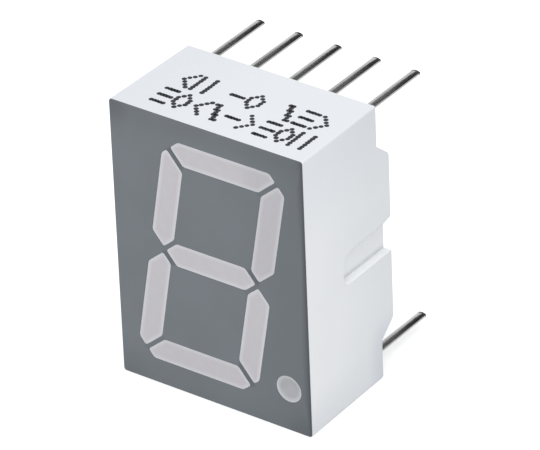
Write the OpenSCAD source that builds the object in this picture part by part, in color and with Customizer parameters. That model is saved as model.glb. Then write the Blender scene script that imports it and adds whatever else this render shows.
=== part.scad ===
// Single-digit seven segment display with a decimal point on the right.
// The digit faces -Y with its top towards +Z, and its pins point to +Y.
// The part stands on its lower end wall. The origin lies on that wall, in the middle of the
// housing's width and of its depth. Modules count depth along +Y from the front face.
// All sizes are in millimetres and all angles in degrees.

/* [Housing] */
// Width of the front face
housing_width = 12.45; // [11.2:0.05:14]
// Height from the lower end wall to the upper one
housing_height = 17.02; // [15.2:0.02:20]
// Depth of the side walls' tips, which seat on the circuit board
seat_depth = 8; // [7.2:0.05:9]
// How far the edges of the upper and lower end walls lie short of that seat
end_step = 1.12; // [0.8:0.02:1.4]
// Height of the flat tip of each side wall
tip_height = 10.21; // [8:0.01:11]
// How far the middle of the board seats lies below the middle of the housing
tip_drop = 0.07; // [0:0.01:0.5]
// Height of the sloping shoulder above and below each tip
shoulder_height = 0.93; // [0.5:0.01:1.5]
// Thickness of the side walls
side_wall = 0.7; // [0.5:0.05:0.8]
// Thickness of the upper and lower end walls
end_wall = 0.6; // [0.4:0.05:0.65]
// Draft of each side wall
side_draft = 1; // [0:0.1:1.5]
// Draft of the upper end wall
end_draft = 0.5; // [0:0.1:1]
// Depth of the moulded face in front of the two core pockets
face_thickness = 1.2; // [0.8:0.1:2]
// Moulding left between a core pocket and the strokes around it
pocket_margin = 0.7; // [0.5:0.05:1]

/* [Side grooves] */
// Height of each groove at the board seat
groove_height = 2.12; // [1.5:0.01:3]
// Middle of the grooves above the middle of the housing, at the board seat
groove_lift = 0.06; // [-0.5:0.01:0.5]
// How far each groove's floor lies inside the width of the front face
groove_depth = 0.65; // [0.3:0.05:0.8]
// Depth at which each groove begins
groove_start = 3.5; // [2.5:0.1:4.5]
// Length of the slope from the wall's surface to the groove's floor
groove_lead_in = 0.15; // [0.05:0.05:1.5]
// Height that the groove's upper side slopes down towards its floor
groove_slope = 0.68; // [0.4:0.01:0.9]
// Angle at which the groove's upper side rises towards the board seat
groove_flare = 2.5; // [0:0.1:4]
// Radius of the two corners at the front of each groove
groove_corner = 0.5; // [0.2:0.05:0.8]

/* [Digit] */
// Face left above the digit
digit_head_margin = 1.33; // [1.2:0.01:1.8]
// Face left below the digit
digit_foot_margin = 1.52; // [1.2:0.01:1.8]
// Face left to the right of the digit's upper right corner
digit_right_margin = 0.99; // [0.8:0.01:1.4]
// Face left to the left of the digit's lower left corner
digit_left_margin = 1.01; // [0.8:0.01:1.4]
// Lean of the digit to the right
slant = 10; // [0:0.5:12]
// Height of the horizontal strokes
bar_stroke = 1.4; // [1.1:0.05:1.6]
// Width of the upright strokes, measured level
upright_stroke = 1.45; // [1.1:0.05:1.6]
// Gap between neighbouring segments, across their mitres
segment_gap = 0.28; // [0.15:0.01:0.4]
// Length cut from each side of the digit's outer corners
corner_cut = 1.03; // [0.6:0.01:1.3]
// How far the lean moves each falling mitre along its stroke
mitre_shift = 0.1; // [0:0.01:0.15]

/* [Decimal point] */
// Diameter of the decimal point
point_diameter = 1.6; // [1.4:0.05:1.7]
// Middle of the point to the right-hand side of the housing
point_inset = 1.39; // [1.3:0.005:1.6]
// Middle of the point above the foot of the digit
point_up = 1.09; // [0.9:0.01:1.2]

/* [Light cavities] */
// Thickness of the grey coat on the front face
coat_thickness = 0.06; // [0.03:0.01:0.1]
// How far the cast segments lie below the coat's surface
segment_recess = 0.02; // [0.02:0.01:0.2]
// Depth at which the straight window ends and the cavity begins to narrow
window_depth = 0.4; // [0.3:0.05:0.8]
// Depth of the lead frame's front side, where the cavities end
frame_depth = 4.2; // [4:0.05:4.6]
// Length of each cavity at the lead frame
floor_length = 2.8; // [2.5:0.05:3.5]
// Width of each cavity at the lead frame
floor_width = 1.05; // [0.9:0.05:1.2]
// Clearance between a lamp and the decimal point's cavity at the lead frame
lamp_clearance = 0.05; // [0.04:0.01:0.12]
// How far the potting's back face lies below the edges of the end walls
potting_recess = 0.38; // [0.3:0.02:0.8]

/* [Leads] */
// Middle of the outer pins to the side of the housing. 1.145 sets the pins of a row 2.54 apart.
pin_side_inset = 1.145; // [1.1:0.005:1.4]
// Middle of each row of pins to the end of the housing. 0.89 sets the rows 15.24 apart.
pin_end_inset = 0.89; // [0.85:0.01:1.2]
// Width of the pins and of the leads inside
lead_width = 0.51; // [0.45:0.01:0.55]
// Thickness of the lead frame
lead_thickness = 0.25; // [0.2:0.01:0.3]
// Length of the pins beyond the seat on the circuit board
pin_length = 4.14; // [2.5:0.02:6]
// Inner radius of the bend between a lead and its pin
bend_radius = 0.2; // [0.1:0.05:0.3]
// Least gap between the lead beside the left groove and the housing
lead_gap = 0.25; // [0.15:0.05:0.3]

/* [Light emitters] */
// Side of each square light-emitting die
die_size = 0.3; // [0.2:0.01:0.3]
// Height of each die
die_height = 0.2; // [0.15:0.01:0.3]
// Distance from a die to the bond of its wire
bond_distance = 0.8; // [0.75:0.01:0.9]
// Diameter of the bond wires
wire_diameter = 0.04; // [0.03:0.01:0.05]
// How far the middle segment's die sits to the left of that segment's middle
middle_die_shift = 0.5; // [0.45:0.01:0.6]

/* [Hidden] */
$fn = 48;
SEGMENTS = ["a", "b", "c", "d", "e", "f", "g"];
LAMPS = concat(SEGMENTS, ["point"]);
point_lamp = len(SEGMENTS);
over = 1; // how far a cutting body reaches past the surface it opens

// Housing
half_width = housing_width / 2;
mid_height = housing_height / 2;
tip_middle = mid_height - tip_drop;
end_depth = seat_depth - end_step;
recess_half_width = half_width - side_wall;
seat_half_width = half_width - (seat_depth - coat_thickness) * tan(side_draft);
boss_inner = half_width - groove_depth - side_wall;
groove_low = mid_height + groove_lift - groove_height / 2;
groove_high = groove_low + groove_height;
boss_low = groove_low - side_wall;
boss_high = groove_high + side_wall;

// Digit, in upright coordinates about its own middle
digit_height = housing_height - digit_head_margin - digit_foot_margin;
leaned_width = housing_width - digit_right_margin - digit_left_margin;
digit_width = leaned_width - digit_height * tan(slant);
digit_x = (digit_left_margin - digit_right_margin) / 2;
digit_z = digit_foot_margin + digit_height / 2;
out_u = digit_width / 2;
out_v = digit_height / 2;
in_u = out_u - upright_stroke;
in_v = out_v - bar_stroke;
bar_half = bar_stroke / 2;
rim = segment_gap / sqrt(2);
// A falling line holds u + v constant, and a rising line holds u - v constant.
fall_top_left = in_v - in_u - 2 * mitre_shift;
rise_top_right = in_u - in_v;
fall_middle_left = 2 * mitre_shift - in_u - bar_half;
fall_middle_right = -fall_middle_left;
rise_middle_left = -in_u - bar_half;
rise_middle_right = -rise_middle_left;
rise_corner = corner_cut - mitre_shift - out_u - out_v;
fall_corner = out_u + out_v - corner_cut - mitre_shift;

// The point where a falling line meets a rising line
function meet(fall, rise) = [(fall + rise) / 2, (fall - rise) / 2];

// The same outline after half a turn about the digit's middle
function turned(outline) = [for (p = outline) -p];

outline_a = [
    meet(fall_top_left + rim, rise_corner),
    [rise_corner + out_v, out_v],
    [fall_corner - out_v, out_v],
    meet(fall_corner, rise_top_right - rim),
    [rise_top_right - rim + in_v, in_v],
    [fall_top_left + rim - in_v, in_v]
];
outline_b = [
    meet(fall_corner, rise_top_right + rim),
    [out_u, fall_corner - out_u],
    [out_u, out_u - rise_middle_right + rim],
    meet(fall_middle_right + rim, rise_middle_right - rim),
    [in_u, fall_middle_right + rim - in_u],
    [in_u, in_u - rise_top_right - rim]
];
outline_f = [
    meet(fall_top_left - rim, rise_corner),
    [-in_u, fall_top_left - rim + in_u],
    [-in_u, rim - rise_middle_left - in_u],
    meet(fall_middle_left + rim, rise_middle_left - rim),
    [-out_u, fall_middle_left + rim + out_u],
    [-out_u, -out_u - rise_corner]
];
outline_g = [
    meet(fall_middle_left + rim, rise_middle_left + rim),
    [rise_middle_left + rim + bar_half, bar_half],
    [fall_middle_right - rim - bar_half, bar_half],
    meet(fall_middle_right - rim, rise_middle_right - rim),
    [rise_middle_right - rim - bar_half, -bar_half],
    [fall_middle_left + rim + bar_half, -bar_half]
];
outlines = [
    outline_a, outline_b, turned(outline_f), turned(outline_a),
    turned(outline_b), outline_f, outline_g
];

// An upright point of the digit, leaned over and placed on the front face
function lean(p) = [digit_x + p[0] + p[1] * tan(slant), digit_z + p[1]];
function leaned(outline) = [for (p = outline) lean(p)];

function lowest(outline, axis) = min([for (p = outline) p[axis]]);
function highest(outline, axis) = max([for (p = outline) p[axis]]);
function span(outline, axis) = highest(outline, axis) - lowest(outline, axis);
function middle(outline) =
    [for (axis = [0, 1]) (lowest(outline, axis) + highest(outline, axis)) / 2];

// The outline of a cavity at the lead frame
function floor_outline(outline) =
    let (level = span(outline, 0) > span(outline, 1))
    let (size = level ? [floor_length, floor_width] : [floor_width, floor_length])
    let (m = middle(outline))
    [for (p = outline) [for (axis = [0, 1])
        m[axis] + (p[axis] - m[axis]) * size[axis] / span(outline, axis)]];

// Where the lamps sit on the lead frame: each wire runs from its die towards wire_way
wire_way = [[1, 0], [0, 1], [0, -1], [-1, 0], [0, -1], [0, 1], [-1, 0], [0, -1]];
point_v = point_up - out_v;
point_middle = [half_width - point_inset - digit_x - point_v * tan(slant), point_v];
lamp_middle = [for (i = [0 : point_lamp])
    i == point_lamp ? point_middle
    : middle(outlines[i]) - [LAMPS[i] == "g" ? middle_die_shift : 0, 0]];
die_at = [for (i = [0 : point_lamp]) lean(lamp_middle[i] - wire_way[i] * bond_distance / 2)];
bond_at = [for (i = [0 : point_lamp]) lean(lamp_middle[i] + wire_way[i] * bond_distance / 2)];

lamp_reach = norm([bond_distance + die_size, die_size]) / 2;
point_floor = 2 * (lamp_reach + lamp_clearance);
potting_depth = end_depth - potting_recess;

// Pins: the column counts from the middle of the row, and the row is 1 above and -1 below
pin_column = [1, 2, 1, -1, -2, -1, -2, 2];
pin_row = [1, 1, -1, -1, -1, 1, 1, -1];
pin_pitch = (half_width - pin_side_inset) / max(pin_column);
function pin_x(i) = pin_column[i] * pin_pitch;
pin_tip = seat_depth + pin_length;
bend_middle = frame_depth + lead_thickness + bend_radius;
bend_drop = lead_thickness / 2 + bend_radius;
function bend_z(row) = mid_height + row * (mid_height - pin_end_inset - bend_drop);

// Where each lead leaves its pin's column: level with its bond, at 45 degrees to it, a short leg
// before it, for the lane beside the left groove, or as soon as it leaves the bend
leaves = ["level", "slanted", "short", "level", "slanted", "short", "lane", "bend"];
short_leg = lead_width;
side_lane = lead_gap + lead_width / 2 - boss_inner;
side_turn = boss_high + 2 * lead_gap + lead_width / 2;

// The corners of a lead between its bend and its bond
function lead_way(i) = let (x = pin_x(i), bond = bond_at[i], row = pin_row[i])
    leaves[i] == "level" ? [[x, bond[1]]]
    : leaves[i] == "slanted" ? [[x, bond[1] + row * abs(x - bond[0])]]
    : leaves[i] == "short" ? [[x, bond[1] + row * short_leg]]
    : leaves[i] == "bend" ? [[x, bend_z(row) + lead_width / 2]]
    : [[x, side_turn], [side_lane, side_turn - side_lane + x], [side_lane, bond[1]]];

// The common lead reaches the decimal point between the second and third pin columns.
point_lane = 1.5 * pin_pitch;

// ---------------------------------------------------------------- helpers

// Places a body, modelled by depth from the front face, in the part's own frame
module from_front() {
    translate([0, -seat_depth / 2, 0]) children();
}

// Turns a flat shape (width, height) into a body of the given thickness that starts at depth
module at_depth(depth, thickness) {
    translate([0, depth, 0])
        rotate([90, 0, 0])
            mirror([0, 0, 1])
                linear_extrude(thickness) children();
}

// A body through several rings: each ring is [depth, outline], clockwise as seen from the front,
// with as many points as the next
module stack(rings) {
    n = len(rings[0][1]);
    last = len(rings) - 1;
    points = [for (ring = rings) for (p = ring[1]) [p[0], ring[0], p[1]]];
    front = [[for (i = [0 : n - 1]) i]];
    back = [[for (i = [n - 1 : -1 : 0]) last * n + i]];
    sides = [for (r = [0 : last - 1]) for (i = [0 : n - 1])
        let (a = r * n + i, b = r * n + (i + 1) % n)
        each [[a, b + n, b], [a, a + n, b + n]]];
    polyhedron(points, concat(front, sides, back));
}

// The space of one segment's light cavity. Past the lead frame it may go on, to cut through.
module segment_space(i, start_depth, past = 0) {
    window = leaned(outlines[i]);
    cavity_floor = leaned(floor_outline(outlines[i]));
    stack(concat(
        [[start_depth, window], [window_depth, window], [frame_depth, cavity_floor]],
        past > 0 ? [[frame_depth + past, cavity_floor]] : []
    ));
}

// The space of the decimal point's light cavity
module point_space(start_depth, past = 0) {
    at = lean(point_middle);
    translate([at[0], 0, at[1]])
        rotate([-90, 0, 0])
            rotate_extrude()
                polygon(concat(
                    [[0, start_depth], [point_diameter / 2, start_depth]],
                    [[point_diameter / 2, window_depth], [point_floor / 2, frame_depth]],
                    past > 0 ? [[point_floor / 2, frame_depth + past]] : [],
                    [[0, frame_depth + past]]
                ));
}

// The two pockets that core the moulding inside the digit's loops
module core_pockets(depth) {
    u = in_u - pocket_margin;
    low = bar_half + pocket_margin;
    high = in_v - pocket_margin;
    for (way = [1, -1])
        at_depth(face_thickness, depth - face_thickness)
            polygon([for (p = [[-u, low], [u, low], [u, high], [-u, high]]) lean(way * p)]);
}

// The open back of the housing, down to a chosen depth
module back_recess(depth) {
    inner_height = housing_height - 2 * end_wall;
    difference() {
        translate([-recess_half_width, frame_depth, end_wall])
            cube([2 * recess_half_width, depth - frame_depth, inner_height]);
        for (side = [0, 1])
            mirror([side, 0, 0])
                translate([boss_inner, frame_depth - over, boss_low])
                    cube([side_wall + groove_depth, depth + over, boss_high - boss_low]);
    }
}

// Outline of a groove, as (depth, height). Its lower side is level, and its upper side only rounds
// the front corner, since the sloping side lies below the rest of it.
function groove_outline() =
    let (middle_depth = groove_start + groove_corner)
    let (front_high = groove_high - (seat_depth - middle_depth) * tan(groove_flare))
    concat(
        [[seat_depth + over, groove_low]],
        quarter([middle_depth, groove_low + groove_corner], 270),
        quarter([middle_depth, front_high - groove_corner], 180),
        [[seat_depth + over, groove_high + over]]
    );

// Quarter of a turn about the middle of a groove's rounded corner
function quarter(at, start) = [for (turn = [0 : 15 : 90])
    at + groove_corner * [cos(start - turn), sin(start - turn)]];

// The cut that makes the groove in the right-hand side wall
module side_groove() {
    floor_x = half_width - groove_depth;
    reach = groove_depth + over;
    slope = groove_slope / (groove_depth - half_width + seat_half_width);
    lead_in = groove_lead_in / groove_depth;
    intersection() {
        translate([0, seat_depth, groove_high])
            rotate([groove_flare, 0, 0])
                at_depth(-seat_depth, seat_depth + over)
                    polygon([
                        [floor_x - over, -groove_slope - slope * over],
                        [floor_x - over, -groove_height - over],
                        [floor_x + reach, -groove_height - over],
                        [floor_x + reach, slope * reach - groove_slope]
                    ]);
        linear_extrude(housing_height)
            polygon([
                [floor_x, groove_start + groove_lead_in],
                [floor_x + reach, groove_start + groove_lead_in - lead_in * reach],
                [floor_x + reach, seat_depth + over],
                [floor_x, seat_depth + over]
            ]);
        rotate([90, 0, 90])
            linear_extrude(housing_width) polygon(groove_outline());
    }
}

// Points beside a way, at a distance to its left, mitred where the way turns
function beside(way, distance) = [for (i = [0 : len(way) - 1])
    let (before = heading(way, max(i, 1)), after = heading(way, min(i + 1, len(way) - 1)))
    way[i] + distance * [-before[1] - after[1], before[0] + after[0]] / (1 + before * after)];

// The unit vector along the leg that ends at point i of a way
function heading(way, i) = (way[i] - way[i - 1]) / norm(way[i] - way[i - 1]);

// A flat stamped strip along a list of points. Past the last one it makes a square pad.
module strip(way) {
    last = len(way) - 1;
    pad_end = way[last] + heading(way, last) * lead_width / 2;
    whole = [for (i = [0 : last]) i == last ? pad_end : way[i]];
    right = beside(whole, -lead_width / 2);
    at_depth(frame_depth, lead_thickness)
        polygon(concat(
            beside(whole, lead_width / 2),
            [for (i = [last : -1 : 0]) right[i]]
        ));
}

// One pin of the upper or lower row, with its bend and a short leg of the lead
module pin(column, row) {
    base = bend_z(1);
    translate([column * pin_pitch, 0, row > 0 ? 0 : housing_height])
        mirror([0, 0, row > 0 ? 0 : 1])
            rotate([90, 0, 90])
                linear_extrude(lead_width, center = true) {
                    translate([frame_depth, base - short_leg])
                        square([lead_thickness, short_leg]);
                    intersection() {
                        translate([bend_middle, base])
                            difference() {
                                circle(bend_radius + lead_thickness);
                                circle(bend_radius);
                            }
                        translate([frame_depth, base])
                            square(bend_radius + lead_thickness);
                    }
                    translate([bend_middle, base + bend_radius])
                        square([pin_tip - bend_middle, lead_thickness]);
                }
}

// ---------------------------------------------------------------- housing and castings

// White moulding: face, light cavities, walls, board seats and side grooves
module reflector_housing() {
    end_height = housing_height - (end_depth - coat_thickness) * tan(end_draft);
    shoulder = tip_height / 2 + shoulder_height;
    color("#eceff1")
        difference() {
            intersection() {
                linear_extrude(housing_height)
                    polygon([
                        [-half_width, coat_thickness],
                        [half_width, coat_thickness],
                        [seat_half_width, seat_depth],
                        [-seat_half_width, seat_depth]
                    ]);
                translate([-half_width, 0, 0])
                    rotate([90, 0, 90])
                        linear_extrude(housing_width)
                            polygon([
                                [coat_thickness, 0],
                                [end_depth, 0],
                                [end_depth, tip_middle - shoulder],
                                [seat_depth, tip_middle - tip_height / 2],
                                [seat_depth, tip_middle + tip_height / 2],
                                [end_depth, tip_middle + shoulder],
                                [end_depth, end_height],
                                [coat_thickness, housing_height]
                            ]);
            }
            back_recess(seat_depth + over);
            core_pockets(frame_depth + over);
            for (i = [0 : point_lamp - 1])
                segment_space(i, -over, over);
            point_space(-over, over);
            side_groove();
            mirror([1, 0, 0]) side_groove();
        }
}

// Grey coat on the front face, open at every window
module face_coat() {
    at = lean(point_middle);
    color("#757a81")
        at_depth(0, coat_thickness)
            difference() {
                translate([-half_width, 0])
                    square([housing_width, housing_height]);
                for (outline = outlines)
                    polygon(leaned(outline));
                translate(at) circle(d = point_diameter);
            }
}

// Diffused casting of one segment, set round its die and wire
module segment_casting(i) {
    color("#c6c0c4")
        difference() {
            segment_space(i, segment_recess);
            die(i);
            bond_wire(i);
        }
}

// Diffused casting of the decimal point
module point_casting() {
    color("#c6c0c4")
        difference() {
            point_space(segment_recess);
            die(point_lamp);
            bond_wire(point_lamp);
        }
}

// Sealing compound behind the lead frame, set round the leads and in the core pockets
module back_potting() {
    color("#d5d3cc")
        difference() {
            union() {
                back_recess(potting_depth);
                core_pockets(frame_depth + lead_thickness / 2);
            }
            common_lead();
            for (i = [0 : point_lamp])
                lamp_lead(i);
        }
}

// ---------------------------------------------------------------- leads and lamps

// Stamped lead that carries every die, with the middle pin of both rows
module common_lead() {
    color("#c4c4c1") {
        for (row = [1, -1]) {
            pin(0, row);
            strip([[0, bend_z(row)], [0, mid_height]]);
        }
        for (i = [0 : point_lamp - 1])
            strip([[0, die_at[i][1]], die_at[i]]);
        strip([
            die_at[2],
            [point_lane, die_at[2][1]],
            [point_lane, die_at[point_lamp][1]],
            die_at[point_lamp]
        ]);
    }
}

// Stamped lead of one lamp, from its pin to the bond of its wire
module lamp_lead(i) {
    start = [[pin_x(i), bend_z(pin_row[i])]];
    color("#c4c4c1") {
        pin(pin_column[i], pin_row[i]);
        strip(concat(start, lead_way(i), [bond_at[i]]));
    }
}

// Light-emitting die on the common lead
module die(i) {
    color("#6e3a36")
        translate([
            die_at[i][0] - die_size / 2,
            frame_depth - die_height,
            die_at[i][1] - die_size / 2
        ])
            cube([die_size, die_height, die_size]);
}

// Bond wire that loops from the top of a die to its own lead
module bond_wire(i) {
    run = bond_at[i] - die_at[i];
    loop = norm(run) / 2;
    color("#d9b25a")
        translate([die_at[i][0], frame_depth - die_height, die_at[i][1]])
            rotate([0, -atan2(run[1], run[0]), 0]) {
                translate([loop, 0, 0])
                    rotate([180, 0, 0])
                        rotate_extrude(angle = 180)
                            translate([loop, 0])
                                circle(d = wire_diameter);
                translate([2 * loop, 0, 0])
                    rotate([-90, 0, 0])
                        cylinder(h = die_height, d = wire_diameter);
            }
}

from_front() reflector_housing();
from_front() face_coat();
for (i = [0 : point_lamp - 1])
    from_front() segment_casting(i);
from_front() point_casting();  // decimal_point
from_front() back_potting();
from_front() common_lead();
for (i = [0 : point_lamp]) {
    from_front() lamp_lead(i);
    from_front() die(i);
    from_front() bond_wire(i);
}
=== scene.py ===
# A single-digit seven segment display: the looks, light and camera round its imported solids.
import math
import random

import bmesh
import bpy
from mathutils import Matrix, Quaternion, Vector


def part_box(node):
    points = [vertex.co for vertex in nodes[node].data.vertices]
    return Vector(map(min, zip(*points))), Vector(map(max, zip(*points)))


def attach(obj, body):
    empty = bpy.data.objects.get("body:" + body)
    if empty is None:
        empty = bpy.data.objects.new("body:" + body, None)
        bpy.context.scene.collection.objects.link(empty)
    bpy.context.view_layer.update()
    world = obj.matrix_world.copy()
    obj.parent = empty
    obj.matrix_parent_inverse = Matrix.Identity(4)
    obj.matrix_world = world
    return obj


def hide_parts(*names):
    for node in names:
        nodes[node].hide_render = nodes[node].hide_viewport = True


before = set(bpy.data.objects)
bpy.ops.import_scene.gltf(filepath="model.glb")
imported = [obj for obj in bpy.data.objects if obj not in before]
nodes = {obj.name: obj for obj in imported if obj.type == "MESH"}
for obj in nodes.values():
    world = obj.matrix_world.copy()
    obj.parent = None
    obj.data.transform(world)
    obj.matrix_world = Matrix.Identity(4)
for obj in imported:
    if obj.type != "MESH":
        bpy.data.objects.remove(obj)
bpy.context.scene.view_settings.view_transform = "Standard"
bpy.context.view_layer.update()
mm = 0.001
hair = 0.001 * mm      # far less than any distance between two parts of the shape
segments = ["segment_" + letter for letter in "abcdefg"]
lamps = list("abcdefg") + ["point"]


# A shader socket that Python's own operators work on
class Wire:
    def __init__(self, paint, socket):
        self.paint = paint
        self.socket = socket

    def combine(self, operation, first, second):
        return self.paint.add("ShaderNodeMath", {"operation": operation}, {0: first, 1: second})

    def __add__(self, other):
        return self.combine("ADD", self, other)

    def __radd__(self, other):
        return self.combine("ADD", other, self)

    def __sub__(self, other):
        return self.combine("SUBTRACT", self, other)

    def __rsub__(self, other):
        return self.combine("SUBTRACT", other, self)

    def __mul__(self, other):
        return self.combine("MULTIPLY", self, other)

    def __rmul__(self, other):
        return self.combine("MULTIPLY", other, self)


# One procedural material and the nodes it is made of
class Paint:
    def __init__(self, name):
        self.material = bpy.data.materials.new(name)
        self.material.use_nodes = True
        self.tree = self.material.node_tree
        self.tree.nodes.clear()
        point = self.add("ShaderNodeTexCoord", {}, {}, "Object")
        self.inMm = self.add("ShaderNodeVectorMath", {"operation": "SCALE"}, {0: point, "Scale": 1 / mm})
        self.x, self.y, self.z = self.split(self.inMm)

    def add(self, kind, settings, inputs, output=0):
        node = self.tree.nodes.new(kind)
        for name, value in settings.items():
            setattr(node, name, value)
        for name, value in inputs.items():
            if isinstance(value, Wire):
                self.tree.links.new(value.socket, node.inputs[name])
            else:
                node.inputs[name].default_value = value
        return Wire(self, node.outputs[output]) if len(node.outputs) else None

    def split(self, vector):
        first = self.add("ShaderNodeSeparateXYZ", {}, {0: vector})
        return [Wire(self, socket) for socket in first.socket.node.outputs]

    def noise(self, size, detail, stretch=(1, 1, 1)):      # size in mm
        spread = self.add("ShaderNodeVectorMath", {"operation": "MULTIPLY"}, {0: self.inMm, 1: stretch})
        return self.add("ShaderNodeTexNoise", {}, {"Vector": spread, "Scale": 1 / size, "Detail": detail})

    def ease(self, value, low, high):      # 0 below low, 1 above high, smooth between them
        return self.add("ShaderNodeMapRange", {"interpolation_type": "SMOOTHSTEP"},
                        {"Value": value, "From Min": low, "From Max": high})

    def mix(self, share, first, second, way="MIX"):
        settings = {"data_type": "RGBA", "blend_type": way}
        return self.add("ShaderNodeMix", settings, {0: share, 6: first, 7: second}, 2)

    def bump(self, height, depth):
        return self.add("ShaderNodeBump", {}, {"Height": height, "Distance": depth * mm})

    def attribute(self, name):
        return self.add("ShaderNodeAttribute", {"attribute_name": name}, {}, "Fac")

    def finish(self, inputs):
        shader = self.add("ShaderNodeBsdfPrincipled", {}, inputs)
        self.add("ShaderNodeOutputMaterial", {}, {"Surface": shader})
        return self.material


def rgb(red, green, blue):
    return (red, green, blue, 1.0)


# The white plastic's tones, with painted light and shade: the walls lighter towards the front and darker
# towards the back, the upper wall's own tone, painted shade on the walls' upper part, lower back corner and
# foot, a painted highlight on the grooves' ledges and painted shade in the corners above them. Heights and
# depths are in mm.
plasticLook = {
    "front": rgb(0.895, 0.905, 0.915), "back": rgb(0.80, 0.815, 0.83), "depths": (-4.5, 4.5), "wander": 5.0,
    "head": rgb(0.836, 0.853, 0.883), "headLeft": rgb(0.80, 0.818, 0.85), "headWidths": (-6, 1),
    "headBand": (0.16, 0.08),
    "brow": rgb(0.93, 0.945, 0.965), "browHeights": (11.0, 16.5),
    "heel": rgb(0.85, 0.88, 0.915), "heelHeights": (2.4, 4.2), "heelDepths": (1.2, 2.9),
    "foot": rgb(0.79, 0.805, 0.825), "footHeight": 3.0,
    "ledge": rgb(0.96, 0.965, 0.97), "hollow": rgb(0.68, 0.695, 0.71),
    "cloud": 4.0, "grain": 0.09, "roughness": 0.42, "roughSpread": 0.12, "bump": 0.006,
}


def whitePlastic():
    look = plasticLook
    paint = Paint("white moulded plastic")
    cloud = paint.noise(look["cloud"], 3)
    grain = paint.noise(look["grain"], 3)
    # painted light and shade: the walls turn lighter towards the front and darker towards the back
    depth = paint.y + look["wander"] * (cloud - 0.5)
    body = paint.mix(paint.ease(depth, *look["depths"]), look["front"], look["back"])
    # painted shade: the walls darken towards their upper part
    brow = paint.mix(paint.ease(paint.z, *look["browHeights"]), body, look["brow"], "MULTIPLY")
    # painted light and shade: the upper wall gets a tone of its own, darker towards its left
    upper = paint.mix(paint.ease(paint.x, *look["headWidths"]), look["headLeft"], look["head"])
    atHead = paint.ease(paint.z, *[housingTop - drop for drop in look["headBand"]])
    head = paint.mix(atHead, brow, upper)
    # painted shade: the walls darken towards their foot
    foot = paint.mix(paint.ease(paint.z, 0, look["footHeight"]), look["foot"], head)
    # painted shade on the walls' lower back corner
    atHeel = paint.ease(paint.y, *look["heelDepths"]) * (1 - paint.ease(paint.z, *look["heelHeights"]))
    heel = paint.mix(atHeel, foot, look["heel"], "MULTIPLY")
    # painted shade in the grooves' corners, then a painted highlight on their ledges and painted light paling
    # the floors above
    hollow = paint.mix(paint.attribute("hollowShade"), heel, look["hollow"])
    return paint.finish({
        "Base Color": paint.mix(paint.attribute("ledgePaintedLight"), hollow, look["ledge"]),
        "Roughness": look["roughness"] + look["roughSpread"] * (grain - 0.5),
        "Normal": paint.bump(grain, look["bump"]),
        "Specular IOR Level": 0.4,
    })


# The grey coat: two tones in clouds, painted shade darkening it towards the right, and painted shade at its
# edges, webs and corners
coatLook = {
    "light": rgb(0.185, 0.204, 0.223), "shade": rgb(0.174, 0.191, 0.208), "cloud": 3.5,
    "rightShade": rgb(0.146, 0.165, 0.178), "rightShadeWidths": (0.5, 6.5), "rightShadeShare": 0.75, "wander": 1.2,
    "edge": rgb(0.085, 0.093, 0.106), "contrast": (0.3, 0.7),
    "speck": 0.12, "roughness": 0.5, "roughSpread": 0.16, "bump": 0.005,
}


def greyCoat():
    look = coatLook
    paint = Paint("grey printed coat")
    cloud = paint.noise(look["cloud"], 3)
    speck = paint.noise(look["speck"], 4)
    tone = paint.mix(paint.ease(cloud, *look["contrast"]), look["shade"], look["light"])
    # painted shade: the coat darkens towards its right
    drift = paint.ease(paint.x + look["wander"] * (cloud - 0.5), *look["rightShadeWidths"])
    filmWithShade = paint.mix(look["rightShadeShare"] * drift, tone, look["rightShade"])
    return paint.finish({
        "Base Color": paint.mix(paint.attribute("edgeShade"), filmWithShade, look["edge"]),
        "Roughness": look["roughness"] + look["roughSpread"] * (speck - 0.5),
        "Normal": paint.bump(speck, look["bump"]),
        "Specular IOR Level": 0.35,
    })


# The castings' resin: two tones in a haze, a paler rim, and painted shade on the digit's upper right part
segmentLook = {
    "name": "diffused resin", "body": rgb(0.594, 0.582, 0.604), "core": rgb(0.60, 0.562, 0.588),
    "rim": rgb(0.71, 0.705, 0.73), "dim": rgb(0.905, 0.91, 0.915), "roughness": 0.38,
}
pointLook = {
    "name": "diffused resin of the point", "body": rgb(0.455, 0.463, 0.482), "core": rgb(0.44, 0.44, 0.462),
    "rim": rgb(0.62, 0.63, 0.645), "dim": rgb(1, 1, 1), "roughness": 0.3,
}
resinGrain = {
    "haze": 0.5, "contrast": (0.35, 0.7), "roughSpread": 0.1, "ripple": 0.15, "bump": 0.004,
    "dimWidths": (1.5, 3.5), "dimHeights": (8, 9.5),
}


def diffusedResin(look):
    grain = resinGrain
    paint = Paint(look["name"])
    haze = paint.noise(grain["haze"], 4)
    core = paint.mix(paint.ease(haze, *grain["contrast"]), look["body"], look["core"])
    rimmed = paint.mix(paint.attribute("rimShade"), core, look["rim"])
    # painted shade on the digit's upper right part
    upperRight = paint.ease(paint.x, *grain["dimWidths"]) * paint.ease(paint.z, *grain["dimHeights"])
    return paint.finish({
        "Base Color": paint.mix(upperRight, rimmed, look["dim"], "MULTIPLY"),
        "Roughness": look["roughness"] + grain["roughSpread"] * (haze - 0.5),
        "Normal": paint.bump(paint.noise(grain["ripple"], 3), grain["bump"]),
        "Subsurface Weight": 0.25,
        "Subsurface Radius": (0.5, 0.45, 0.45),
        "Subsurface Scale": 0.4 * mm,
        "Coat Weight": 0.15,
        "Coat Roughness": 0.2,
    })


# The potting: two tones in swirls, and a surface with slow waves and small pits
pottingLook = {
    "body": rgb(0.66, 0.645, 0.60), "deep": rgb(0.59, 0.572, 0.525), "contrast": (0.35, 0.68),
    "roughness": 0.24, "roughSpread": 0.1,
    "swirl": 2.2, "wave": 1.4, "pits": 1.1, "pitSize": (0.03, 0.16), "pitDepth": 0.8, "bump": 0.06,
}


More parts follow.
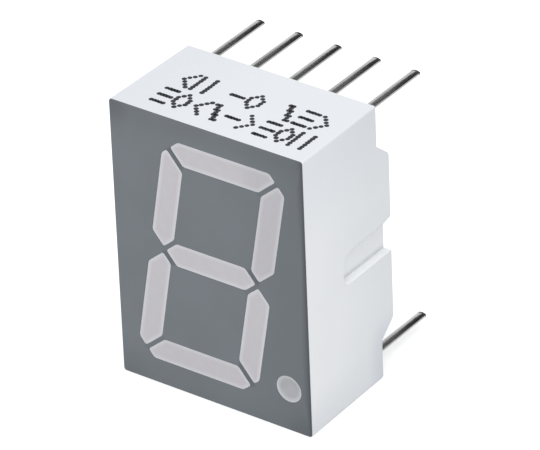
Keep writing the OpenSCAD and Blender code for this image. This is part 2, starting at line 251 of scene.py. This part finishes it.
def pottingResin():
    look = pottingLook
    paint = Paint("poured potting resin")
    swirl = paint.noise(look["swirl"], 4)
    pits = paint.add("ShaderNodeTexVoronoi", {}, {"Vector": paint.inMm, "Scale": look["pits"]})
    pit = 1 - paint.ease(pits, *look["pitSize"])
    wave = paint.noise(look["wave"], 2)
    return paint.finish({
        "Base Color": paint.mix(paint.ease(swirl, *look["contrast"]), look["body"], look["deep"]),
        "Roughness": look["roughness"] + look["roughSpread"] * (swirl - 0.5),
        "Normal": paint.bump(wave - look["pitDepth"] * pit, look["bump"]),
        "Subsurface Weight": 0.2,
        "Subsurface Radius": (0.6, 0.55, 0.45),
        "Subsurface Scale": 0.5 * mm,
        "Coat Weight": 0.3,
        "Coat Roughness": 0.12,
    })


# The tinned leads: streaky tin, rougher on the sheared sides with painted shade darkening them, dark just
# before the cut end and where a pin leaves the potting, and smoother towards the end
tinLook = {
    "bright": rgb(0.86, 0.855, 0.84), "dull": rgb(0.70, 0.695, 0.68), "contrast": (0.5, 0.9),
    "streak": 0.12, "spot": 0.3, "spotShare": 0.4, "waver": 0.3,
    "sheared": rgb(0.60, 0.595, 0.58), "end": rgb(0.34, 0.29, 0.25),
    "cut": rgb(0.07, 0.06, 0.055), "cutBand": (0.16, 0.048),
    "root": rgb(0.16, 0.155, 0.15), "rootLength": 0.45, "rootShare": 0.85,
    "roughness": 0.27, "roughSpread": 0.16, "roughCut": 0.2, "roughSheared": 0.1,
    "polish": 0.09, "polishFrom": 4.5, "bump": 0.008,
}


def tinnedLead():
    look = tinLook
    paint = Paint("tinned lead")
    streak = paint.noise(look["streak"], 4, (1, 0.06, 1))
    spot = paint.noise(look["spot"], 3)
    worn = paint.ease(streak + look["spotShare"] * spot, *look["contrast"])
    skin = paint.mix(worn, look["bright"], look["dull"])
    along = paint.y + look["waver"] * (spot - 0.5)
    cut = paint.ease(along, *[pinEnd - length for length in look["cutBand"]])
    root = 1 - paint.ease(along, pinRoot, pinRoot + look["rootLength"])
    sheared = paint.attribute("shearedSide")
    outer = paint.ease(paint.y, look["polishFrom"], pinEnd)
    # the sheared sides are rougher, and their darker tone is painted shade
    body = paint.mix(look["rootShare"] * root, paint.mix(sheared, skin, look["sheared"]), look["root"])
    end = paint.attribute("cutEnd")
    rough = look["roughness"] - look["polish"] * outer + look["roughSpread"] * (streak - 0.5)
    return paint.finish({
        "Base Color": paint.mix(end, paint.mix(cut, body, look["cut"]), look["end"]),
        "Metallic": 1.0,
        "Roughness": rough + look["roughCut"] * cut + look["roughSheared"] * sheared,
        "Normal": paint.bump(streak, look["bump"]),
    })


# The dies, the bond wires and the print: two tones in a fine grain
chipLook = {
    "name": "emitter chip", "first": rgb(0.16, 0.045, 0.04), "second": rgb(0.24, 0.08, 0.06),
    "grain": 0.05, "detail": 2, "roughness": 0.35, "roughSpread": 0.2, "metallic": 0.0,
}
wireLook = {
    "name": "gold bond wire", "first": rgb(0.80, 0.55, 0.22), "second": rgb(0.90, 0.66, 0.30),
    "grain": 0.02, "detail": 2, "roughness": 0.25, "roughSpread": 0.1, "metallic": 1.0,
}
inkLook = {
    "name": "print ink", "first": rgb(0.022, 0.022, 0.027), "second": rgb(0.05, 0.05, 0.058),
    "grain": 0.08, "detail": 3, "roughness": 0.55, "roughSpread": 0.2, "metallic": 0.0,
}


def fineGrained(look):
    paint = Paint(look["name"])
    grain = paint.noise(look["grain"], look["detail"])
    return paint.finish({
        "Base Color": paint.mix(grain, look["first"], look["second"]),
        "Metallic": look["metallic"],
        "Roughness": look["roughness"] + look["roughSpread"] * (grain - 0.5),
    })


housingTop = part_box("reflector_housing")[1].z / mm
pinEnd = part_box("common_lead")[1].y / mm
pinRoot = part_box("back_potting")[1].y / mm + 0.35      # about level with the end walls' edges
plastic, coat, potting = whitePlastic(), greyCoat(), pottingResin()
resin, pointResin = diffusedResin(segmentLook), diffusedResin(pointLook)
tin, chip, gold, ink = tinnedLead(), fineGrained(chipLook), fineGrained(wireLook), fineGrained(inkLook)
print("finishes made")


def mergedCopy(node):      # a solid's mesh, with whole faces instead of loose triangles
    bm = bmesh.new()
    bm.from_mesh(nodes[node].data)
    bmesh.ops.remove_doubles(bm, verts=bm.verts, dist=0.0003 * mm)
    bmesh.ops.dissolve_limit(bm, angle_limit=math.radians(0.4), verts=bm.verts, edges=bm.edges)
    return bm


def around(faces):      # faces with their edges and corners, as a cut needs them
    return faces + list({e for f in faces for e in f.edges}) + list({v for f in faces for v in f.verts})


def cutFaces(bm, faces, at, way):
    bmesh.ops.bisect_plane(bm, geom=around(faces), plane_co=at, plane_no=way)


def border(faces):      # the edges round a region of faces
    inside = set(faces)
    return [e for e in {e for f in faces for e in f.edges} if sum(f in inside for f in e.link_faces) == 1]


def bevel(bm, edges, width, steps):
    if edges:
        bmesh.ops.bevel(bm, geom=edges, offset=width * mm, offset_type="OFFSET", affect="EDGES",
                        segments=steps, profile=0.5, material=-1, clamp_overlap=True)


def sharpEdges(bm, test, angle):      # test takes an edge's middle in mm and its direction
    limit = math.radians(angle)
    return [e for e in bm.edges
            if len(e.link_faces) == 2 and e.calc_face_angle(0) > limit
            and test((e.verts[0].co + e.verts[1].co) / 2 / mm, (e.verts[1].co - e.verts[0].co).normalized())]


def ease(value, low, high):
    t = max(0.0, min(1.0, (value - low) / (high - low)))
    return t * t * (3 - 2 * t)


def place(bm, name, material, standsFor=(), smooth=32):
    for face in bm.faces:
        face.smooth = True
    for e in bm.edges:
        e.smooth = len(e.link_faces) == 2 and e.calc_face_angle(0) < math.radians(smooth)
    mesh = bpy.data.meshes.new(name)
    bm.to_mesh(mesh)
    bm.free()
    mesh.materials.append(material)
    piece = bpy.data.objects.new(name, mesh)
    bpy.context.scene.collection.objects.link(piece)
    weighted = piece.modifiers.new("even shading", "WEIGHTED_NORMAL")
    weighted.keep_sharp = True
    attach(piece, "root")
    if standsFor:
        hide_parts(*standsFor)
    return piece


def dress(node, material):      # a solid that is shown as it is
    slots = nodes[node].material_slots
    for s in slots:
        s.material = material
    if not slots:
        nodes[node].data.materials.append(material)


housingLook = {
    # radii of the corners that run front to back, of the front's edges, of the seats' corners and of
    # the other edges, and the angle in degrees from which an edge is rounded
    "corner": 0.13, "front": 0.03, "tip": 0.2, "edge": 0.05, "sharp": 25,
    # where those edges lie: how near an end, a side, the front or a seat, and from what depth on
    "nearEnd": 0.1, "nearSide": 0.25, "flush": 0.01, "backFrom": 2.8,
    # the side grooves: from what width and depth on they lie, half the height that holds them, how far
    # their faces lie in from the side and from what depth on, and the small steps at their front
    "grooveWidth": 6, "grooveDepth": -1, "grooveHalf": 2, "sunk": (0.68, 0.05), "sunkFrom": -0.6,
    "mergeWidth": 5.5, "mergeDepth": 1, "merge": 0.03,
    # the heights above a ledge at which the painted shade in the corner fades, and how much painted light
    # pales the floor above that
    "dull": [0.12, 0.32], "clear": 0.33,
}


def makeHousing():
    look = housingLook
    low, high = [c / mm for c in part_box("reflector_housing")]
    middle = (low.z + high.z) / 2
    bm = mergedCopy("reflector_housing")
    grooveFront = [v for v in bm.verts if abs(v.co.x) > look["mergeWidth"] * mm
                   and abs(v.co.y) < look["mergeDepth"] * mm]
    bmesh.ops.remove_doubles(bm, verts=grooveFront, dist=look["merge"] * mm)
    end, side, flush = look["nearEnd"], look["nearSide"], look["flush"]
    atEnds = lambda c: c.z < low.z + end or c.z > high.z - end
    atSides = lambda c: abs(c.x) > high.x - side
    atFront = lambda c: c.y < low.y + flush
    atSeat = lambda c: c.y > high.y - flush
    offMiddle = lambda c: abs(c.z - middle)
    atGroove = lambda c: (abs(c.x) > look["grooveWidth"] and look["grooveDepth"] < c.y < high.y - flush
                          and offMiddle(c) < look["grooveHalf"])
    atBack = lambda c: look["backFrom"] < c.y < high.y - end
    runs = lambda d, axis: abs(d[axis]) > 0.9
    groups = [
        ("corner", 4, lambda c, d: runs(d, 1) and atSides(c) and atEnds(c)),
        ("front", 2, lambda c, d: atFront(c) and (atSides(c) or atEnds(c))),
        ("tip", 4, lambda c, d: atSeat(c) and runs(d, 0) and offMiddle(c) > 2 * look["grooveHalf"]),
        ("edge", 3, lambda c, d: atGroove(c)),
        ("edge", 3, lambda c, d: atSeat(c)),
        ("edge", 3, lambda c, d: atBack(c) and (atSides(c) or atEnds(c) or runs(d, 0))),
    ]
    for name, steps, test in groups:
        bevel(bm, sharpEdges(bm, test, look["sharp"]), look[name], steps)
    shadeGroove(bm, high, middle)
    return place(bm, "housingMoulding", plastic, ["reflector_housing"])


# Painted light and shade in each side groove: a painted highlight on the ledge at its foot, painted shade in
# the corner above it, and painted light paling the floor above that
def shadeGroove(bm, high, middle):
    look = housingLook
    ledge = bm.loops.layers.float.new("ledgePaintedLight")
    hollow = bm.loops.layers.float.new("hollowShade")

    def inGroove(face):
        c = face.calc_center_median() / mm
        deepest, shallowest = look["sunk"]
        sunk = high.x - deepest < abs(c.x) < high.x - shallowest
        return sunk and c.y > look["sunkFrom"] and abs(c.z - middle) < look["grooveHalf"]

    isFloor = lambda f: f.normal.x * f.calc_center_median().x > 0.9 * abs(f.calc_center_median().x)
    isLedge = lambda f: f.normal.z > 0.9
    foot = min(v.co.z for f in bm.faces if inGroove(f) and isLedge(f) for v in f.verts) / mm
    for height in look["dull"]:
        floors = [f for f in bm.faces if inGroove(f) and isFloor(f)]
        cutFaces(bm, floors, (0, 0, (foot + height) * mm), (0, 0, 1))
    for face in [f for f in bm.faces if inGroove(f)]:
        for loop in face.loops:
            if isLedge(face):
                loop[ledge] = 1.0
            elif isFloor(face):
                clear = ease(loop.vert.co.z / mm - foot, 0, look["dull"][-1])
                loop[hollow] = 1 - clear
                loop[ledge] = look["clear"] * clear


makeHousing()
print("housing made")


coatShape = {
    "corner": 0.16, "window": 0.13,      # radii of the sheet's corners and of the windows' corners
    "rim": 0.2,      # how far the sheet's rim reaches in
    # rings along every edge: the width, and the drop at the sheet's rim and at a window's lip
    "rings": [(0.012, 0.055, 0.02), (0.02, 0.0207, 0.002), (0.03, 0.005, 0.0)],
    "lap": 0.006, "skirt": 0.055,      # how far the coat laps into a window, and past its own back
    "flare": 0.01,      # the share by which the back's openings are wider
    "grid": 0.3,
}

# Shares of the coat's dark tone, all of them painted shade, each with the distances in mm over which it
# fades: the line round a window, the webs between windows, the right-hand edge, the upper edge and the
# sheet's four corners
coatShade = {
    "line": 0.15, "lineReach": 0.08,
    "rising": 0.15, "falling": 0.48, "fallingWebs": ("af", "bg", "eg", "cd"), "webReach": (0.39, 0.3),
    "turn": 0.95, "turnReach": (0.3, 0.03),
    "head": 0.17, "headReach": (0.3, 1.6),
    "lowerLeft": 0.22, "lowerRight": 0.4, "upperLeft": 0.5, "upperRight": 0.25, "cornerReach": (0.2, 2.2),
    "far": 0.5,      # a window farther off than this counts as this far
}


def frontOutline(node):      # the corners of a solid's front face
    bm = mergedCopy(node)
    front = min(bm.faces, key=lambda f: f.calc_center_median().y)
    points = [v.co.copy() for v in front.verts]
    bm.free()
    return points


def sides(outline):
    return list(zip(outline, outline[1:] + outline[:1]))


def awayFrom(point, edges, reach):      # the distance across the face, up to reach
    best = reach
    for a, b in edges:
        if any(min(a[k], b[k]) - point[k] > best or point[k] - max(a[k], b[k]) > best for k in (0, 2)):
            continue
        along = b - a
        share = max(0.0, min(1.0, (point - a).dot(along) / along.length_squared))
        away = point - (a + share * along)
        best = min(best, math.hypot(away.x, away.z))
    return best


def roundedOutline(bm, points, lap, radius):      # smaller by lap, with its corners rounded
    face = bm.faces.new([bm.verts.new(p) for p in points])
    if lap:
        ring = bmesh.ops.inset_individual(bm, faces=[face], thickness=lap * mm, use_even_offset=True)["faces"]
        outer = {v for f in ring for v in f.verts} - set(face.verts)
        bmesh.ops.delete(bm, geom=list(outer), context="VERTS")
    if radius:
        bmesh.ops.bevel(bm, geom=face.verts[:], offset=radius * mm, offset_type="OFFSET",
                        affect="VERTICES", segments=4, profile=0.5, material=-1)


def fillBetween(bm, edges, normal=(0, -1, 0)):
    made = bmesh.ops.triangle_fill(bm, use_beauty=True, edges=edges, normal=normal)["geom"]
    return [f for f in made if isinstance(f, bmesh.types.BMFace)]


def extrudeEdges(bm, edges):
    made = bmesh.ops.extrude_edge_only(bm, edges=edges)["geom"]
    return [e for e in made if isinstance(e, bmesh.types.BMEdge) and len(e.link_faces) == 1]


def insetAndFill(bm, faces, width, normal=(0, -1, 0)):      # adds a ring along every edge of the region
    bmesh.ops.inset_region(bm, faces=faces, thickness=width * mm, use_even_offset=True, use_boundary=True)
    edges = border(faces)
    bmesh.ops.delete(bm, geom=faces, context="FACES")
    return fillBetween(bm, [e for e in edges if e.is_valid], normal)


def cutGrid(bm, test, low, high, step):
    for axis in (0, 2):
        way = Vector([float(k == axis) for k in range(3)])
        for i in range(1, math.ceil((high[axis] - low[axis]) / step)):
            cutFaces(bm, [f for f in bm.faces if test(f)], way * (low[axis] + i * step) * mm, way)


def atRim(c, low, high):      # near the sheet's own edge, not at a window
    reach = coatShape["rim"]
    return abs(c.x) > high.x - reach or c.z < low.z + reach or c.z > high.z - reach


def coatFront(bm, windows, low, high):      # the sheet round its windows, with every edge rolled back
    look = coatShape
    sheet = [Vector((x, low.y, z)) * mm for x, z in
             ((low.x, low.z), (high.x, low.z), (high.x, high.z), (low.x, high.z))]
    roundedOutline(bm, sheet, 0, look["corner"])
    for window in windows:
        radius = look["window"] if len(window) < 12 else 0      # the point's window is round already
        roundedOutline(bm, window, look["lap"], radius)
    bmesh.ops.delete(bm, geom=bm.faces[:], context="FACES_ONLY")
    flat = fillBetween(bm, bm.edges[:])
    for width, rimDrop, lipDrop in look["rings"]:
        for v in {v for e in border(flat) for v in e.verts}:
            v.co.y = (low.y + (rimDrop if atRim(v.co / mm, low, high) else lipDrop)) * mm
        flat = insetAndFill(bm, flat, width)
    cutGrid(bm, lambda f: True, low, high, look["grid"])


def coatBack(bm, windows, low, high):      # the rim's edge, a skirt inside each window, and the back
    look = coatShape
    edges = [e for e in bm.edges if len(e.link_faces) == 1]
    onRim = [e for e in edges if all(atRim(v.co / mm, low, high) for v in e.verts)]
    back = extrudeEdges(bm, onRim)
    for v in {v for e in back for v in e.verts}:
        v.co.y = high.y * mm
    skirt = extrudeEdges(bm, [e for e in edges if e not in set(onRim)])
    for v in {v for e in skirt for v in e.verts}:
        v.co.y = (high.y + look["skirt"]) * mm
    inner = extrudeEdges(bm, skirt)
    for v in {v for e in inner for v in e.verts}:
        own = min(windows, key=lambda w: awayFrom(v.co, sides(w), 1.0))
        middle = sum(own, Vector()) / len(own)
        v.co += look["flare"] * (v.co - middle)
        v.co.y = high.y * mm
    bmesh.ops.triangle_fill(bm, use_beauty=True, edges=back + inner, normal=(0, 1, 0))
    bmesh.ops.recalc_face_normals(bm, faces=bm.faces[:])


def makeCoat():
    low, high = [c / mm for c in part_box("face_coat")]
    windows = [frontOutline(s) for s in segments + ["decimal_point"]]
    for window in windows:
        for p in window:
            p.y = low.y * mm
    bm = bmesh.new()
    shade = bm.verts.layers.float.new("edgeShade")
    coatFront(bm, windows, low, high)
    coatBack(bm, windows, low, high)
    far = coatShade["far"] * mm
    for v in bm.verts:
        near = sorted((awayFrom(v.co, sides(w), far), name) for w, name in zip(windows, "abcdefg."))
        v[shade] = coatTone(v.co / mm, near, low, high)
    return place(bm, "faceCoat", coat, ["face_coat"])


# the share of painted shade on the coat: round the windows, on the webs, at the right-hand and upper edges
# and in the corners
def coatTone(c, near, low, high):      # near lists the windows' distances and letters, nearest first
    look = coatShade
    (first, firstName), (second, secondName) = near[:2]
    line = look["line"] * (1 - ease(first / mm, 0, look["lineReach"]))
    falls = "".join(sorted(firstName + secondName)) in look["fallingWebs"]
    web = look["falling" if falls else "rising"] * ease((first + second) / mm, *look["webReach"])
    turn = look["turn"] * ease(c.x, *[high.x - reach for reach in look["turnReach"]])
    head = look["head"] * (1 - ease(high.z - c.z, *look["headReach"]))
    corners = [
        look[name] * (1 - ease(math.hypot(c.x - x, c.z - z), *look["cornerReach"]))
        for name, x, z in (("lowerLeft", low.x, low.z), ("lowerRight", high.x, low.z),
                           ("upperLeft", low.x, high.z), ("upperRight", high.x, high.z))
    ]
    return max(line, web, turn, head, *corners)


makeCoat()
print("face coat made")


# Each ring of a casting: its width, how far it sinks, and its share of the rim's colour. The point's
# face sinks pointSink times as far.
castingShape = {"rings": [(0.05, 0.0, 1.0), (0.07, 0.003, 0.6), (0.14, 0.006, 0.0)], "pointSink": 12.0}


def makeCasting(node, name, material, sink):
    bm = mergedCopy(node)
    shade = bm.verts.layers.float.new("rimShade")
    y = min(v.co.y for v in bm.verts)
    flat = [f for f in bm.faces if f.normal.y < -0.99 and f.calc_center_median().y < y + hair]
    for v in {v for f in flat for v in f.verts}:
        v[shade] = 1.0
    for width, depth, share in castingShape["rings"]:
        bmesh.ops.inset_region(bm, faces=flat, thickness=width * mm, use_even_offset=True, use_boundary=True)
        for v in {v for f in flat for v in f.verts}:
            v.co.y = y + depth * sink * mm
            v[shade] = share
    return place(bm, name, material, [node], 50)


for node in segments:
    makeCasting(node, "casting_" + node[-1], resin, 1.0)
makeCasting("decimal_point", "casting_point", pointResin, castingShape["pointSink"])
print("castings made")


# How far the resin creeps up what it touches, over what distance, the distance from which it lies
# flat, and the cuts that shape it
pottingShape = {"climb": 0.16, "reach": 0.12, "far": 0.8, "rings": [0.025, 0.035], "grid": 0.25}


def makePotting():
    look = pottingShape
    low, high = [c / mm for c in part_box("back_potting")]
    bm = mergedCopy("back_potting")
    isBack = lambda f: f.normal.y > 0.99 and f.calc_center_median().y > high.y * mm - hair
    flat = [f for f in bm.faces if isBack(f)]
    edges = border(flat)
    walls = [tuple(v.co.copy() for v in e.verts) for e in edges]
    bmesh.ops.delete(bm, geom=flat, context="FACES")
    flat = fillBetween(bm, [e for e in edges if e.is_valid], (0, 1, 0))
    for width in look["rings"]:
        flat = insetAndFill(bm, flat, width, (0, 1, 0))
    cutGrid(bm, isBack, low, high, look["grid"])
    for v in {v for f in bm.faces if isBack(f) for v in f.verts}:
        away = awayFrom(v.co, walls, look["far"] * mm) / mm
        v.co.y += look["climb"] * math.exp(-away / look["reach"]) * mm
    bmesh.ops.recalc_face_normals(bm, faces=bm.faces[:])
    return place(bm, "backPotting", potting, ["back_potting"], 50)


makePotting()
print("potting made")


# A lead's pins: the depths past which they are clear of the bend and are shaped, the half height that
# holds one, the cuts along and across it, how far and from where its broad faces are crowned, and how
# its end is eased
pinShape = {
    "bend": 0.6, "from": 2.2, "reach": 0.5, "rings": (2.6, 7.4), "cuts": 8,
    "crown": 0.07, "crownFrom": 2.3, "tip": 0.04, "point": 0.97,
}


def shapePin(bm, corners, tip):
    look = pinShape
    x = (min(v.x for v in corners) + max(v.x for v in corners)) / 2
    z = (min(v.z for v in corners) + max(v.z for v in corners)) / 2
    half = max(v.x for v in corners) - x
    atPin = lambda c: abs(c.z - z) < look["reach"] * mm
    for y in (look["from"], *look["rings"], tip / mm - look["tip"]):
        part = [f for f in bm.faces if all(v.co.y > look["bend"] * mm and atPin(v.co) for v in f.verts)]
        cutFaces(bm, part, (0, y * mm, 0), (0, 1, 0))
    for k in range(1, look["cuts"]):
        part = [f for f in bm.faces if atPin(f.calc_center_median())
                and all(v.co.y > look["from"] * mm - hair for v in f.verts)]
        cutFaces(bm, part, (x + half * (2 * k / look["cuts"] - 1), 0, 0), (1, 0, 0))
    for v in bm.verts:
        if v.co.y > look["crownFrom"] * mm and atPin(v.co):
            across = (v.co.x - x) / half
            v.co.z -= math.copysign(look["crown"] * mm * across ** 2, v.co.z - z)
            if v.co.y > tip - 0.5 * look["tip"] * mm:
                v.co.z = z + (v.co.z - z) * look["point"]
                v.co.x = x + (v.co.x - x) * (look["point"] + 1) / 2


def makeLead(node, name):
    bm = mergedCopy(node)
    tip = max(v.co.y for v in bm.verts)
    ends = [v.co.copy() for v in bm.verts if v.co.y > tip - hair]
    for row in sorted({round(v.z / mm) for v in ends}):
        shapePin(bm, [v for v in ends if round(v.z / mm) == row], tip)
    sheared = bm.loops.layers.float.new("shearedSide")
    end = bm.loops.layers.float.new("cutEnd")
    for face in bm.faces:
        for loop in face.loops:
            loop[sheared] = float(abs(face.normal.x) > 0.8)
            loop[end] = float(face.normal.y > 0.9 and loop.vert.co.y > tip - hair)
    return place(bm, name, tin, [node], 40)


makeLead("common_lead", "leadCommon")
for lamp in lamps:
    makeLead("lead_" + lamp, "lead" + lamp.capitalize())
print("leads made")


for lamp in lamps:
    dress("die_" + lamp, chip)
    dress("wire_" + lamp, gold)
print("lamps dressed")


# Dotted print on the upper wall: plain strokes and shapes only
dotMarks = {
    "rungs": ["11111", "00000", "00000", "11111", "00000", "00000", "11111"],
    "rails": ["10001", "10001", "10001", "10001", "10001", "10001", "10001"],
    "diamond": ["00100", "01010", "10001", "10001", "10001", "01010", "00100"],
    "arrow": ["10000", "01000", "00100", "00010", "00100", "01000", "10000"],
    "fork": ["00001", "00010", "00100", "01000", "00100", "00010", "00001"],
    "steps": ["11000", "01000", "01100", "00100", "00110", "00010", "00011"],
    "dash": ["00000", "00000", "00000", "11111", "00000", "00000", "00000"],
    "blank": ["00000"] * 7,
}
# Each row's depth with its marks from right to left, then their start, the pitch of marks and dots, and
# a dot's radius, height and sides
printLook = {
    "rows": [
        (1.08, ["rails", "diamond", "rungs", "fork", "dash", "steps", "arrow", "diamond", "rungs"]),
        (3.06, ["fork", "rungs", "steps", "blank", "diamond", "dash", "blank", "rails", "arrow"]),
    ],
    "right": 5.45, "pitch": 1.1, "dotPitch": (0.19, 0.235), "dot": 0.145, "height": 0.004,
    "sides": 10,
    "seed": 7, "spread": (0.93, 1.06), "stray": 0.012,      # how dots differ in size and place
    "draft": 0.5,      # the upper wall's slope in degrees
}


def makePrint():
    look = printLook
    low, high = [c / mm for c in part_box("reflector_housing")]
    slope = math.tan(math.radians(look["draft"]))
    rand = random.Random(look["seed"])
    stray = look["stray"]
    dots = [(i * look["pitch"] + c * look["dotPitch"][0], start + r * look["dotPitch"][1])
            for start, marks in look["rows"] for i, mark in enumerate(marks)
            for r, row in enumerate(dotMarks[mark]) for c, on in enumerate(row) if on == "1"]
    bm = bmesh.new()
    for left, back in dots:
        radius = look["dot"] * mm * rand.uniform(*look["spread"])
        made = bmesh.ops.create_circle(bm, cap_ends=True, segments=look["sides"], radius=radius)
        x = look["right"] - look["dot"] - left + rand.uniform(-stray, stray)
        y = low.y + back + rand.uniform(-stray, stray)
        bmesh.ops.translate(bm, verts=made["verts"], vec=Vector((x, y, high.z - back * slope)) * mm)
    made = bmesh.ops.extrude_face_region(bm, geom=bm.faces[:])
    top = [v for v in made["geom"] if isinstance(v, bmesh.types.BMVert)]
    bmesh.ops.translate(bm, verts=top, vec=(0, 0, look["height"] * mm))
    bmesh.ops.recalc_face_normals(bm, faces=bm.faces)
    return place(bm, "dottedPrint", ink)


makePrint()
print("print made")


# The stage, in metres: a pale floor that the camera sees a little brighter, a white backdrop, a soft
# light from all round, the key lamp, and a dark card that only glossy rays see
studio = {
    "floor": {"colour": rgb(0.86, 0.86, 0.86), "half": 3, "lift": 0.39},
    "world": {"colour": rgb(0.97, 0.985, 1.0), "power": 0.72, "backdrop": rgb(1, 1, 1)},
    "key": {"power": 0.55, "size": (0.3, 0.3), "start": (0.08, -0.12, 0.34), "aim": (0, 0, 0.01)},
    "card": {"colour": rgb(0.02, 0.02, 0.02), "x": (-0.9, 0.9), "y": (0.12, 0.55), "z": 0.4},
}


def stageMesh(name, corners, material):
    mesh = bpy.data.meshes.new(name)
    mesh.from_pydata(corners, [], [range(len(corners))])
    mesh.materials.append(material)
    thing = bpy.data.objects.new(name, mesh)
    bpy.context.scene.collection.objects.link(thing)
    return thing


def makeFloor():
    look = studio["floor"]
    paint = Paint("pale floor")
    path = paint.add("ShaderNodeLightPath", {}, {}, "Is Camera Ray")
    lit = paint.add("ShaderNodeBsdfDiffuse", {}, {"Color": look["colour"]})
    lift = paint.add("ShaderNodeEmission", {}, {"Color": rgb(1, 1, 1), "Strength": look["lift"]})
    both = paint.add("ShaderNodeAddShader", {}, {0: lit, 1: lift})
    shown = paint.add("ShaderNodeMixShader", {}, {0: path, 1: lit, 2: both})
    paint.add("ShaderNodeOutputMaterial", {}, {"Surface": shown})
    corners = [(x * look["half"], y * look["half"], 0) for x, y in ((-1, -1), (1, -1), (1, 1), (-1, 1))]
    stageMesh("floor", corners, paint.material)


def makeCard():
    look = studio["card"]
    paint = Paint("dark card")
    dark = paint.add("ShaderNodeBsdfDiffuse", {}, {"Color": look["colour"]})
    paint.add("ShaderNodeOutputMaterial", {}, {"Surface": dark})
    corners = [(look["x"][i], look["y"][j], look["z"]) for i, j in ((0, 0), (1, 0), (1, 1), (0, 1))]
    card = stageMesh("dark card", corners, paint.material)
    card.visible_camera = card.visible_diffuse = card.visible_shadow = card.visible_transmission = False


def makeWorld():
    look = studio["world"]
    world = bpy.data.worlds.new("studio")
    bpy.context.scene.world = world
    world.use_nodes = True
    tree = world.node_tree
    tree.nodes.clear()
    soft = tree.nodes.new("ShaderNodeBackground")
    soft.inputs["Color"].default_value = look["colour"]
    soft.inputs["Strength"].default_value = look["power"]
    white = tree.nodes.new("ShaderNodeBackground")
    white.inputs["Color"].default_value = look["backdrop"]
    path = tree.nodes.new("ShaderNodeLightPath")
    seen = tree.nodes.new("ShaderNodeMath")
    seen.operation = "MAXIMUM"
    tree.links.new(path.outputs["Is Camera Ray"], seen.inputs[0])
    tree.links.new(path.outputs["Is Transmission Ray"], seen.inputs[1])
    mix = tree.nodes.new("ShaderNodeMixShader")
    out = tree.nodes.new("ShaderNodeOutputWorld")
    tree.links.new(seen.outputs[0], mix.inputs[0])
    tree.links.new(soft.outputs[0], mix.inputs[1])
    tree.links.new(white.outputs[0], mix.inputs[2])
    tree.links.new(mix.outputs[0], out.inputs["Surface"])


def makeLamp():
    look = studio["key"]
    lamp = bpy.data.lights.new("key lamp", "AREA")
    lamp.energy = look["power"]
    lamp.shape = "RECTANGLE"
    lamp.size, lamp.size_y = look["size"]
    thing = bpy.data.objects.new("key lamp", lamp)
    thing.location = look["start"]
    thing.rotation_mode = "QUATERNION"
    thing.rotation_quaternion = (Vector(look["aim"]) - Vector(look["start"])).to_track_quat("-Z", "Y")
    thing.visible_camera = False
    bpy.context.scene.collection.objects.link(thing)


cameraLook = {
    "azimuth": 36.75, "elevation": 31.52, "roll": -2.36,      # degrees
    "distance": 0.3067, "aim": (0.00053, 0.0007, 0.00896), "lens": 383.6, "sensor": 36, "clip": (0.01, 10),
}


def makeCamera():
    look = cameraLook
    a, e = math.radians(look["azimuth"]), math.radians(look["elevation"])
    back = Vector((math.sin(a) * math.cos(e), -math.cos(a) * math.cos(e), math.sin(e)))
    data = bpy.data.cameras.new("camera")
    data.lens = look["lens"]
    data.sensor_width = look["sensor"]
    data.clip_start, data.clip_end = look["clip"]
    camera = bpy.data.objects.new("camera", data)
    camera.location = Vector(look["aim"]) + back * look["distance"]
    camera.rotation_mode = "QUATERNION"
    roll = Quaternion((0, 0, 1), math.radians(look["roll"]))
    camera.rotation_quaternion = (-back).to_track_quat("-Z", "Y") @ roll
    bpy.context.scene.collection.objects.link(camera)
    bpy.context.scene.camera = camera


makeFloor()
makeCard()
makeWorld()
makeLamp()
makeCamera()
print("studio made")
